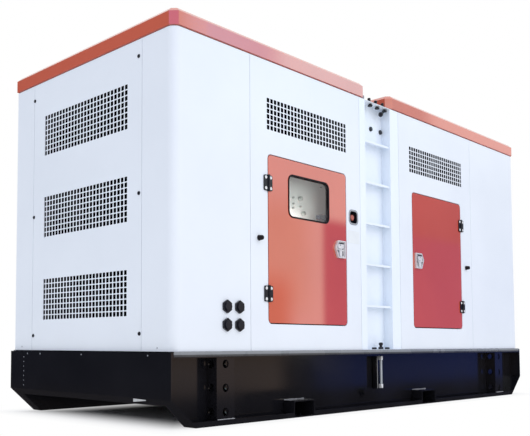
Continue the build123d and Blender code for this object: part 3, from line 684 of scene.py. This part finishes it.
blue_handle = finish("blue_handle", (0.004, 0.006, 0.045), (0.007, 0.010, 0.065), (0.3, 0.4), patch_size=20.0)
start_clean()
bpy.ops.mesh.primitive_cube_add(size=1)
handle = named("cabinet_handle")
handle.scale = (0.118, 0.040, 0.034)
bpy.ops.object.transform_apply(location=False, rotation=False, scale=True)
select_edges(handle, lambda edge: all(abs(v.co.x) > 0.05 for v in edge.verts)
             and abs(edge.verts[0].co.x - edge.verts[1].co.x) < 0.001)
bpy.ops.mesh.bevel(offset=0.014, segments=4)
leave_edit()
handle.location = (-0.700, CABINET_FACE - 0.018, 1.360)
settle(handle, "housing", blue_handle)

# %% [markdown]
# ## Emergency stop and the plate below it
# The stop sits in a black cup. A grey collar clips over the edge of the cup, and below it a bare pale
# plate is riveted to the pillar.

# %% Collar of the stop
cup_low, cup_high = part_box("stop_housing")
STOP_X = (cup_low.x + cup_high.x) / 2
STOP_Z = (cup_low.z + cup_high.z) / 2
start_clean()
bpy.ops.mesh.primitive_plane_add(size=1)
collar = named("stop_collar")
collar.scale = (cup_high.x - cup_low.x + 0.004, cup_high.z - cup_low.z + 0.004, 1)
bpy.ops.object.transform_apply(location=False, rotation=False, scale=True)
bpy.ops.object.mode_set(mode="EDIT")
bpy.ops.mesh.select_mode(type="VERT")
bpy.ops.mesh.select_all(action="SELECT")
bpy.ops.mesh.bevel(offset=0.035, segments=6, affect="VERTICES")
bpy.ops.mesh.select_mode(type="FACE")
bpy.ops.mesh.select_all(action="SELECT")
bpy.ops.mesh.inset(thickness=0.013)
bpy.ops.mesh.delete(type="FACE")
leave_edit()
apply_modifier(collar, "SOLIDIFY", thickness=0.004, offset=0.0)
apply_modifier(collar, "BEVEL", width=0.0012, segments=2)
stand_up(collar, STOP_X, cup_low.y - 0.001, STOP_Z, 0)
settle(collar, "housing", grey_rim)

# %% Bare plate
start_clean()
bpy.ops.mesh.primitive_cube_add(size=1)
plate = named("stop_plate")
plate.scale = (0.140, 0.091, 0.0015)
bpy.ops.object.transform_apply(location=False, rotation=False, scale=True)
select_edges(plate, lambda edge: abs(edge.verts[0].co.z - edge.verts[1].co.z) > 0.001)
bpy.ops.mesh.bevel(offset=0.006, segments=3)
leave_edit()
stand_up(plate, from_left(1.747), FRONT - 0.0007, 1.2335, 0)
settle(plate, "housing", pale_plate)
print("stop dressed at", round(STOP_X, 3), round(STOP_Z, 3))

# %% [markdown]
# ## Ladder recess
# The recess carries a few black fittings: two plugs in its back, a row of bolts through the roof
# sheet, and clamps at its foot. The plugs and bolt heads are turned shapes, so a cylinder with a
# rounded edge is enough, and the hook at the top is a bolt with a ball on its arm.

# %% Plugs and bolts
recess_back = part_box("ladder_channel")[1].y - 0.005
ROOF_SHEET_TOP = 2.275


def button(name, place, radius, depth, turn, material, body="housing", edge=0.3):
    """A round head with a soft edge. turn None stands up along +Z and "down" hangs along -Z."""
    start_clean()
    bpy.ops.mesh.primitive_cylinder_add(vertices=24, radius=radius, depth=depth, location=(0, 0, depth / 2))
    piece = named(name)
    bpy.ops.object.transform_apply(location=True, rotation=False, scale=False)
    select_edges(piece, lambda side: all(v.co.z > depth * 0.95 for v in side.verts))
    bpy.ops.mesh.bevel(offset=min(radius, depth) * edge, segments=3)
    leave_edit()
    if turn is None:
        piece.matrix_world = Matrix.Translation(place)
    elif turn == "down":
        piece.matrix_world = Matrix.Translation(place) @ Matrix.Rotation(math.radians(180), 4, "X")
    else:
        stand_up(piece, *place, turn)
    return settle(piece, body, material)


for number, x in enumerate((-0.128, 0.003)):
    button(f"recess_plug_{number + 1}", (x, recess_back, 2.103), 0.0175, 0.010, 0, black_moulding)
BOLT_LINE = FRONT + 0.028
for number, x in enumerate((-0.284, -0.198, -0.110, -0.018)):
    bolt_finish = grey_rim if number == 0 else black_moulding
    button(f"roof_bolt_{number + 1}", (x, BOLT_LINE + 0.010, ROOF_SHEET_TOP), 0.012, 0.044, None, bolt_finish,
           edge=0.5)
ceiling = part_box("ladder_channel")[1].z
for number, x in enumerate((-0.200, -0.106, -0.004)):
    button(f"roof_shank_{number + 1}", (x, BOLT_LINE, ceiling), 0.010, 0.010, "down", black_moulding)
    button(f"roof_nut_{number + 1}", (x, BOLT_LINE, ceiling - 0.008), 0.018, 0.012, "down", black_moulding,
           edge=0.25)

# %% Hook at the top of the recess
start_clean()
bpy.ops.mesh.primitive_uv_sphere_add(segments=20, ring_count=12, radius=0.0185)
hook = named("recess_hook")
select_faces(hook, lambda face: face.normal.x > 0.70 and face.normal.z > 0.2)
bpy.ops.mesh.extrude_region_move(TRANSFORM_OT_translate={"value": (0.032, 0, 0.026)})
leave_edit()
hook.location = (-0.056, BOLT_LINE, ceiling - 0.050)
settle(hook, "housing", black_moulding)

# %% Clamps at the foot of the recess, on a white floor sheet
deck_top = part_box("deck")[1].z
channel_low, channel_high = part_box("ladder_channel")
FLOOR_SHEET = 0.0025
floor_sheet = box_piece("recess_floor", (channel_low.x + 0.003, FRONT - 0.003, deck_top),
                        (channel_high.x - 0.003, channel_high.y - 0.006, deck_top + FLOOR_SHEET), 0.0008)
settle(floor_sheet, "housing", recess_enamel_brightened)


def clamp(name, x, wide, tall):
    start_clean()
    bpy.ops.mesh.primitive_cube_add(size=1)
    piece = named(name)
    piece.scale = (wide, 0.014, tall)
    bpy.ops.object.transform_apply(location=False, rotation=False, scale=True)
    select_edges(piece, lambda edge: all(v.co.z > 0 for v in edge.verts))
    bpy.ops.mesh.bevel(offset=tall * 0.3, segments=3)
    leave_edit()
    piece.location = (x, BOLT_LINE, deck_top + FLOOR_SHEET + tall / 2)
    return settle(piece, "housing", black_moulding)


clamp("foot_clamp_1", -0.190, 0.042, 0.015)
clamp("foot_clamp_2", -0.102, 0.046, 0.018)
clamp("foot_clamp_3", -0.014, 0.042, 0.015)
button("foot_clamp_stem", (-0.102, BOLT_LINE, deck_top + 0.018), 0.010, 0.018, None, black_moulding,
       edge=0.1)
button("foot_clamp_knob", (-0.102, BOLT_LINE, deck_top + 0.033), 0.015, 0.020, None, black_moulding,
       edge=0.45)

# %% [markdown]
# ## Level gauge
# The tank's level shows in a glass tube between two bright end fittings. The CAD node gives its
# outline, and here it is dressed: a black guard, two zinc blocks and the clear tube.

# %% Dress the gauge
web_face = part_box("level_gauge")[1].y
gauge_low, gauge_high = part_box("level_gauge")
TUBE_X = gauge_high.x - 0.015
TUBE_Y = web_face - 0.019


# A pale grey for a thin strip along the gauge guard's front edge, lighter than the black guard.
pale_guard_strip = finish("pale_guard_strip", (0.20, 0.20, 0.21), (0.28, 0.28, 0.29), (0.3, 0.45), patch_size=20.0,
                     peel_size=500.0, bump=0.1)
guard = box_piece("gauge_guard", (gauge_low.x, web_face - 0.044, gauge_low.z),
                  (gauge_low.x + 0.005, web_face, gauge_high.z), 0.001)
settle(guard, "housing", skid_enamel)
guard_foot = box_piece("gauge_guard_foot", (gauge_low.x, web_face - 0.005, gauge_low.z),
                       (TUBE_X - 0.010, web_face, gauge_high.z), 0.001)
settle(guard_foot, "housing", skid_enamel)
guard_edge = box_piece("gauge_guard_edge", (gauge_low.x - 0.0005, web_face - 0.0455, gauge_low.z + 0.002),
                       (gauge_low.x + 0.0055, web_face - 0.0435, gauge_high.z - 0.002), 0.0005)
settle(guard_edge, "housing", pale_guard_strip)
for end, low, high in (("low", gauge_low.z, gauge_low.z + 0.030), ("high", gauge_high.z - 0.030, gauge_high.z)):
    block = box_piece(f"gauge_fitting_{end}", (TUBE_X - 0.011, web_face - 0.030, low),
                      (TUBE_X + 0.011, web_face, high), 0.003)
    settle(block, "housing", bright_zinc)
sight_tube = finish("sight_tube", (0.42, 0.46, 0.50), (0.50, 0.54, 0.58), (0.12, 0.22), patch_size=12.0,
                    peel_size=40.0, bump=0.01, coat=1.0)
start_clean()
bpy.ops.mesh.primitive_cylinder_add(vertices=24, radius=0.0095, depth=gauge_high.z - gauge_low.z - 0.05)
tube = named("gauge_tube")
select_faces(tube, lambda face: abs(face.normal.z) > 0.9)
bpy.ops.mesh.inset(thickness=0.003)
bpy.ops.transform.resize(value=(1, 1, 1.04))
leave_edit()
tube.location = (TUBE_X, TUBE_Y, (gauge_low.z + gauge_high.z) / 2)
settle(tube, "housing", sight_tube)
for piece in (guard, guard_foot, guard_edge, block, tube):
    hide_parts("level_gauge")
print("gauge at", round(TUBE_X, 3))

# %% [markdown]
# ## Weld beads
# The posts and the fork sleeves are welded into the beams. The bead at the foot of a post and the one
# over a sleeve show as pale lines, a painted highlight in their grey. A bead is a slim rod that swells
# and narrows along its length, roughened by its bump.

# %% Beads
# The grey of the beads is a painted highlight: the black welds show as pale lines where they catch the light.
bead_highlight_grey = finish("bead_highlight_grey", (0.22, 0.22, 0.24), (0.34, 0.34, 0.36), (0.35, 0.5), patch_size=40.0,
                    peel_size=220.0, bump=0.5)


def bead(name, low_x, high_x, y, z, radius, material=None):
    start_clean()
    bpy.ops.mesh.primitive_cylinder_add(vertices=10, radius=radius, depth=high_x - low_x)
    piece = named(name)
    select_edges(piece, lambda edge: edge.calc_length() > 0.5 * (high_x - low_x))
    bpy.ops.mesh.subdivide(number_cuts=9, smoothness=0)
    leave_edit()
    for point in piece.data.vertices:
        swell = 1 + 0.18 * math.sin(point.co.z * 260)
        point.co.x *= swell
        point.co.y *= swell
    piece.rotation_euler = (0, math.radians(90), 0)
    piece.location = ((low_x + high_x) / 2, y, z)
    return settle(piece, "housing", material or bead_highlight_grey, smooth_angle=60)


post_low, post_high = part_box("lifting_posts")
sleeve_low, sleeve_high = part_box("fork_sleeves")
POST_WIDTH = 0.150
for side in (-1, 1):
    face = side * (post_high.y + 0.003)
    for post_x in (post_low.x, post_high.x - POST_WIDTH):
        bead(f"post_bead_{side}_{round(post_x * 10)}", post_x + 0.004, post_x + POST_WIDTH - 0.004, face, 0.034,
             0.0035)
    for sleeve_x in (sleeve_low.x, sleeve_high.x - 0.216):
        bead(f"sleeve_bead_{side}_{round(sleeve_x * 10)}", sleeve_x + 0.006, sleeve_x + 0.210,
             side * (-web_face + 0.002), sleeve_high.z + 0.002, 0.0035)

# %% Marks on the skid's end
SKID_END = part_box("skid_ends")[0].x
bare_steel = finish("bare_steel", (0.40, 0.41, 0.42), (0.52, 0.53, 0.54), (0.35, 0.5), patch_size=30.0, bump=0.1)
start_clean()
bpy.ops.mesh.primitive_plane_add(size=1)
scuff = named("end_scuff")
scuff_outline = [(-0.518, 0.160), (-0.630, 0.157), (-0.518, 0.141), (-0.630, 0.152)]
for corner, (y, z) in zip(scuff.data.vertices, [scuff_outline[0], scuff_outline[1], scuff_outline[2], scuff_outline[3]]):
    corner.co = (SKID_END - 0.0004, y, z)
apply_modifier(scuff, "SOLIDIFY", thickness=0.0006, offset=0.0)
settle(scuff, "housing", bare_steel)
seam_dots = 7
for number in range(seam_dots):
    height = 0.384 - number * 0.032
    screw(SKID_END, REAR - 0.160, height, 0.0034, -90, "housing", grey_rim, flat=0.5)

# %% [markdown]
# ## The bright edge under the canopy
# The upper edge of each beam shows as a thin light line under the canopy. This line is a painted
# reflection of the sky: two flat bars with soft edges, laid on the beam's own edge, a bright one above
# and a dimmer one below.

# %% Edge bars
# Painted reflection: the light bar is the sky mirrored in the beam's edge, the darker bar its dimmer lower part.
lip_reflection_bright_edge = finish("lip_reflection_bright_edge", (0.20, 0.215, 0.235), (0.27, 0.285, 0.31), (0.20, 0.35), patch_size=3.0,
                   peel_size=300.0, bump=0.1)
lip_reflection_dim_edge = finish("lip_reflection_dim_edge", (0.045, 0.047, 0.052), (0.075, 0.078, 0.084), (0.20, 0.35), patch_size=3.0,
                   peel_size=300.0, bump=0.1)
beam_low, beam_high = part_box("skid_beam_front")
EDGE_TOP = 0.4295
EDGE_MIDDLE = 0.412
EDGE_FOOT = 0.400
edge_bars = (("lip_reflection_bright", EDGE_MIDDLE, EDGE_TOP, lip_reflection_bright_edge), ("lip_reflection_dim", EDGE_FOOT, EDGE_MIDDLE, lip_reflection_dim_edge))
for side in (-1, 1):
    for label, low, high, material in edge_bars:
        bar = box_piece(f"edge_bar_{label}_{side}", (beam_low.x + 0.012, beam_low.y - 0.0012, low),
                        (beam_high.x - 0.012, beam_low.y + 0.0008, high), 0.0005)
        if side > 0:
            bar.location.y = -bar.location.y
        settle(bar, "housing", material)

# %% [markdown]
# ## Camera, light and floor
# The camera stands where the photograph was taken from, low and close to the left corner. The lens
# shift only moves the picture on the sensor, as the cropped photograph needs. The light is soft and
# even: a white sky and one wide, weak sun from the front right.

# %% Camera
view = bpy.data.cameras.new("photo_camera")
camera = bpy.data.objects.new("photo_camera", view)
bpy.context.scene.collection.objects.link(camera)
camera.location = (-5.0373, -3.9085, 0.4755)
camera.rotation_euler = (math.radians(93.38), 0, math.radians(-43.7))
view.sensor_width = 36
view.lens = 51.40
view.shift_x = 0.1411
view.shift_y = 0.1524
view.clip_start = 0.1
view.clip_end = 200
bpy.context.scene.camera = camera

# %% Sky and sun
world = bpy.data.worlds.new("studio")
bpy.context.scene.world = world
world.use_nodes = True
sky = world.node_tree
background = [n for n in sky.nodes if n.type == "BACKGROUND"][0]
rays = sky.nodes.new("ShaderNodeLightPath")
seen = sky.nodes.new("ShaderNodeMath")
seen.operation = "MAXIMUM"
seen_or_through = sky.nodes.new("ShaderNodeMath")
seen_or_through.operation = "MAXIMUM"
level = sky.nodes.new("ShaderNodeMapRange")
level.inputs["To Min"].default_value = 0.86
level.inputs["To Max"].default_value = 1.0
link_nodes(sky, rays, "Is Camera Ray", seen, 0)
link_nodes(sky, rays, "Is Glossy Ray", seen, 1)
link_nodes(sky, seen, "Value", seen_or_through, 0)
link_nodes(sky, rays, "Is Transmission Ray", seen_or_through, 1)
link_nodes(sky, seen_or_through, "Value", level, "Value")
link_nodes(sky, level, "Result", background, "Strength")
sky_tone = mix_colour(sky, seen_or_through, "Value", (0.93, 0.97, 1.07), (1.0, 1.0, 1.0))
sky.links.new(sky_tone, background.inputs["Color"])

lamp = bpy.data.lights.new("soft_sun", "SUN")
lamp.energy = 0.72
lamp.angle = math.radians(50)
lamp.color = (1.0, 0.98, 0.95)
sun = bpy.data.objects.new("soft_sun", lamp)
bpy.context.scene.collection.objects.link(sun)
sun.visible_glossy = False
towards_sun = Vector((0.30, -0.78, 0.55)).normalized()
sun.rotation_euler = towards_sun.to_track_quat("Z", "Y").to_euler()

fill_lamp = bpy.data.lights.new("left_fill", "SUN")
fill_lamp.energy = 0.24
fill_lamp.angle = math.radians(60)
fill_lamp.color = (0.90, 0.96, 1.0)
fill = bpy.data.objects.new("left_fill", fill_lamp)
bpy.context.scene.collection.objects.link(fill)
fill.visible_glossy = False
fill.rotation_euler = Vector((-0.90, -0.25, 0.30)).to_track_quat("Z", "Y").to_euler()

cabinet_lamp = bpy.data.lights.new("cabinet_light", "AREA")
cabinet_lamp.shape = "RECTANGLE"
cabinet_lamp.size = 0.30
cabinet_lamp.size_y = 0.04
cabinet_lamp.energy = 0.85
cabinet_light = bpy.data.objects.new("cabinet_light", cabinet_lamp)
bpy.context.scene.collection.objects.link(cabinet_light)
cabinet_light.location = (-1.08, -0.745, 1.215)
cabinet_light.rotation_euler = Vector((0, -0.15, -1)).to_track_quat("Z", "Y").to_euler()
cabinet_light.visible_glossy = False
bpy.context.scene.view_settings.view_transform = "Standard"

# %% Floor that fades to white
floor_colour = bpy.data.materials.new("pale_floor")
floor_colour.use_nodes = True
tree = floor_colour.node_tree
shader = [n for n in tree.nodes if n.type == "BSDF_PRINCIPLED"][0]
shader.inputs["Specular IOR Level"].default_value = 0.0
shader.inputs["Roughness"].default_value = 1.0
grain = place_group(tree, patches, Size=3.0)
tone = mix_colour(tree, grain, "Mask", (0.92, 0.92, 0.93), (0.95, 0.95, 0.95))
tree.links.new(tone, shader.inputs["Base Color"])
white = tree.nodes.new("ShaderNodeEmission")
spot = tree.nodes.new("ShaderNodeTexCoord")
mirrored = tree.nodes.new("ShaderNodeVectorMath")
mirrored.operation = "ABSOLUTE"
beyond = tree.nodes.new("ShaderNodeVectorMath")
beyond.operation = "SUBTRACT"
beyond.inputs[1].default_value = (2.25, 0.84, 0)
apart = tree.nodes.new("ShaderNodeSeparateXYZ")
reach = tree.nodes.new("ShaderNodeMath")
reach.operation = "MAXIMUM"
fade = tree.nodes.new("ShaderNodeMapRange")
fade.interpolation_type = "SMOOTHSTEP"
fade.inputs["From Min"].default_value = -0.45
fade.inputs["From Max"].default_value = 0.22
blend = tree.nodes.new("ShaderNodeMixShader")
output = [n for n in tree.nodes if n.type == "OUTPUT_MATERIAL"][0]
link_nodes(tree, spot, "Object", mirrored, 0)
link_nodes(tree, mirrored, "Vector", beyond, 0)
link_nodes(tree, beyond, "Vector", apart, "Vector")
link_nodes(tree, apart, "X", reach, 0)
link_nodes(tree, apart, "Y", reach, 1)
link_nodes(tree, reach, "Value", fade, "Value")
link_nodes(tree, fade, "Result", blend, 0)
tree.links.new(shader.outputs[0], blend.inputs[1])
tree.links.new(white.outputs[0], blend.inputs[2])
tree.links.new(blend.outputs[0], output.inputs["Surface"])
start_clean()
bpy.ops.mesh.primitive_circle_add(vertices=96, radius=40, fill_type="NGON")
floor = named("studio_floor")
floor.data.materials.append(floor_colour)
floor.visible_glossy = False

# %% [markdown]
# Glossy paint shows what stands around it. Coloured cards stand in the studio, far in front of the
# doors, one stands beyond the left end and one lies below the floor. Only a reflection can see them:
# they give no light and no shadow, and the camera does not see them. Their edges fade out, because
# the things that a paint mirrors are far away and blurred.

# %% Cards that only reflections see
def card(name, colour, across, up, soft, middle=(0, 0, 0), turn=(90, 0, 0)):
    """A sheet whose X runs from across[0] to across[1] and whose Y from up[0] to up[1], then turned."""
    start_clean()
    bpy.ops.mesh.primitive_plane_add(size=1)
    sheet = named(name)
    sheet.scale = (across[1] - across[0] + 2 * soft, up[1] - up[0] + 2 * soft, 1)
    sheet.location = ((across[0] + across[1]) / 2, (up[0] + up[1]) / 2, 0)
    bpy.ops.object.transform_apply(location=True, rotation=False, scale=True)
    sheet.location = middle
    sheet.rotation_euler = [math.radians(angle) for angle in turn]
    glow = bpy.data.materials.new(name)
    glow.use_nodes = True
    tree = glow.node_tree
    emission = tree.nodes.new("ShaderNodeEmission")
    clouds = place_group(tree, patches, Size=0.5)
    tones = [tuple(part * share for part in colour) for share in (0.8, 1.2)]
    tree.links.new(mix_colour(tree, clouds, "Mask", *tones), emission.inputs["Color"])
    place = tree.nodes.new("ShaderNodeTexCoord")
    split = tree.nodes.new("ShaderNodeSeparateXYZ")
    link_nodes(tree, place, "Object", split, "Vector")
    edges = []
    for axis, (low, high) in (("X", across), ("Y", up)):
        for start, end in ((low - soft, low + soft), (high + soft, high - soft)):
            edge = tree.nodes.new("ShaderNodeMapRange")
            edge.interpolation_type = "SMOOTHSTEP"
            edge.inputs["From Min"].default_value = start
            edge.inputs["From Max"].default_value = end
            link_nodes(tree, split, axis, edge, "Value")
            edges.append((edge, "Result"))
    while len(edges) > 1:
        times = tree.nodes.new("ShaderNodeMath")
        times.operation = "MULTIPLY"
        for socket in (0, 1):
            link_nodes(tree, *edges.pop(), times, socket)
        edges.append((times, "Value"))
    clear = tree.nodes.new("ShaderNodeBsdfTransparent")
    blend = tree.nodes.new("ShaderNodeMixShader")
    link_nodes(tree, *edges[0], blend, 0)
    link_nodes(tree, clear, "BSDF", blend, 1)
    link_nodes(tree, emission, "Emission", blend, 2)
    output = [n for n in tree.nodes if n.type == "OUTPUT_MATERIAL"][0]
    link_nodes(tree, blend, "Shader", output, "Surface")
    sheet.data.materials.append(glow)
    for ray in ("camera", "diffuse", "shadow", "transmission", "volume_scatter"):
        setattr(sheet, f"visible_{ray}", False)
    return sheet


card("card_blue_low", (0.05, 0.08, 0.33), (6.2, 60), (-6, 2.75), 0.12, (0, -6.0, 0))
card("card_blue_high", (0.10, 0.12, 0.24), (9.0, 60), (2.5, 4.9), 0.20, (0, -6.1, 0))
card("card_brown", (0.52, 0.38, 0.30), (-30, 5.75), (-6, 1.65), 0.35, (0, -6.4, 0))
card("card_haze", (0.77, 0.79, 0.69), (-30, 6.4), (1.0, 3.1), 0.50, (0, -6.5, 0))
card("card_sky_corner", (0.33, 0.21, 0.66), (-30, -6.4), (4.0, 12), 0.5, (0, -6.6, 0))
card("card_sky_left", (0.40, 0.42, 0.36), (-5.4, 3.3), (4.6, 12), 0.5, (0, -6.6, 0))
card("card_sky_near", (0.55, 1.00, 1.45), (3.3, 5.6), (4.6, 12), 0.5, (0, -6.6, 0))
card("card_sky_middle", (1.00, 1.60, 1.80), (5.6, 9.0), (4.6, 12), 0.5, (0, -6.7, 0))
card("card_sky_far", (0.35, 0.55, 0.60), (9.0, 11.6), (4.6, 12), 0.5, (0, -6.8, 0))
card("card_dark", (0.018, 0.022, 0.034), (-3, 22), (-6, 13), 0.4, (-8, 0, 0), (90, 0, 90))
card("card_ground", (0.035, 0.032, 0.032), (-60, 60), (-60, 60), 1.0, (0, 0, -0.35), (0, 0, 0))
print("cards standing")

# %% [markdown]
# ## The end

# %% Remove the screw pattern
bpy.data.objects.remove(screw_pattern)
